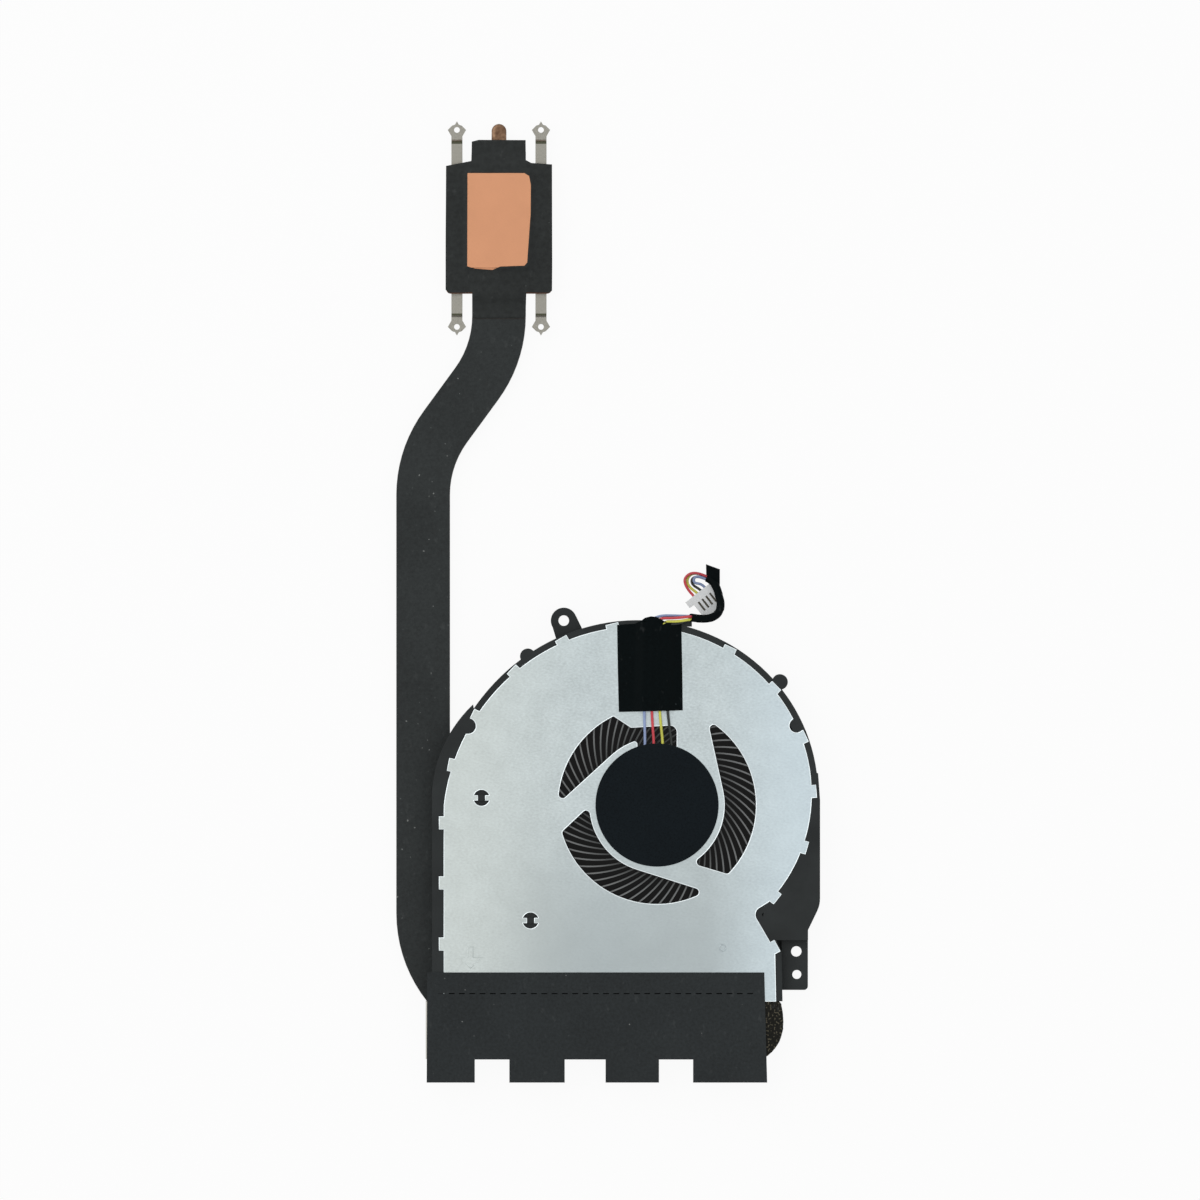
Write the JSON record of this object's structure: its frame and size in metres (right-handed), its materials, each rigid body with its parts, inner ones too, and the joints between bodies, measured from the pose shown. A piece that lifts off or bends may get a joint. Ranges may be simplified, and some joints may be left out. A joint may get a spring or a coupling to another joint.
{
  "type": "laptop cooling module",
  "caption": "Flat laptop cooling module: a thin radial blower with a flattened heat pipe that runs from a sprung cold plate to a fin stack at the blower's outlet.",
  "frame": {"origin": "middle of the module's outline, on the surface that it lies on", "axes": "+Z points away from the surface, out of the side with the metal cover; +Y runs along the module from the blower to the cold plate; +X points to the right, seen from +Z"},
  "size_m": [0.0882, 0.2, 0.0075],
  "materials": {
    "case_plastic": "fine-textured black moulded plastic",
    "impeller_plastic": "black moulded plastic",
    "zinc_sheet": "zinc-coated steel sheet, fine grain",
    "rotor_steel": "plain drawn steel",
    "spring_steel": "spring steel strip",
    "magnet": "dark bonded magnet",
    "sintered_bronze": "sintered bearing metal",
    "machined_brass": "machined brass",
    "thrust_plastic": "slippery thrust pad",
    "core_steel": "laminated electrical steel",
    "winding": "enamelled copper wire",
    "board": "glass-fibre circuit board",
    "chip": "moulded chip",
    "solder": "tin solder",
    "label": "plain dark label film",
    "black_tape": "deep black adhesive tape",
    "pipe_copper": "bare copper",
    "black_film": "matt black insulating film",
    "fin_metal": "folded sheet",
    "foam": "open-cell foam",
    "plate_copper": "bare copper",
    "rivet_steel": "plain steel",
    "wire_blue": "soft wire sleeve",
    "wire_red": "soft wire sleeve",
    "wire_yellow": "soft wire sleeve",
    "wire_black": "soft wire sleeve",
    "plug_white": "white moulded plug",
    "contact_metal": "tinned contacts"
  },
  "bodies": {
    "module": {"fan_housing": "case_plastic", "cover_plate": "zinc_sheet", "bearing_holder": "machined_brass", "bearing_sleeve": "sintered_bronze", "retaining_washer": "thrust_plastic", "thrust_pad": "thrust_plastic", "stator_core": "core_steel", "stator_coils": "winding", "motor_board": "board", "driver_chip": "chip", "solder_pads": "solder", "motor_label": "label", "wire_tape": "black_tape", "heat_pipe": "pipe_copper", "pipe_film": "black_film", "fin_stack": "fin_metal", "fin_film": "black_film", "fin_foam": "foam", "cold_plate": "plate_copper", "spring_left": "spring_steel", "spring_right": "spring_steel", "spring_rivets": "rivet_steel", "cold_plate_tape": "black_tape", "wire_blue": "wire_blue", "wire_red": "wire_red", "wire_yellow": "wire_yellow", "wire_black": "wire_black", "harness_wrap": "black_tape", "connector_housing": "plug_white", "connector_terminals": "contact_metal"},
    "rotor": {"impeller": "impeller_plastic", "rotor_yoke": "rotor_steel", "magnet_ring": "magnet", "shaft": "rotor_steel"}
  },
  "joints": [
    {"name": "rotor_spin", "type": "hinge", "parent": "module", "child": "rotor", "pos_m": [0.0102, -0.0423, 0.003], "axis": [0, 0, 1], "continuous": true}
  ]
}
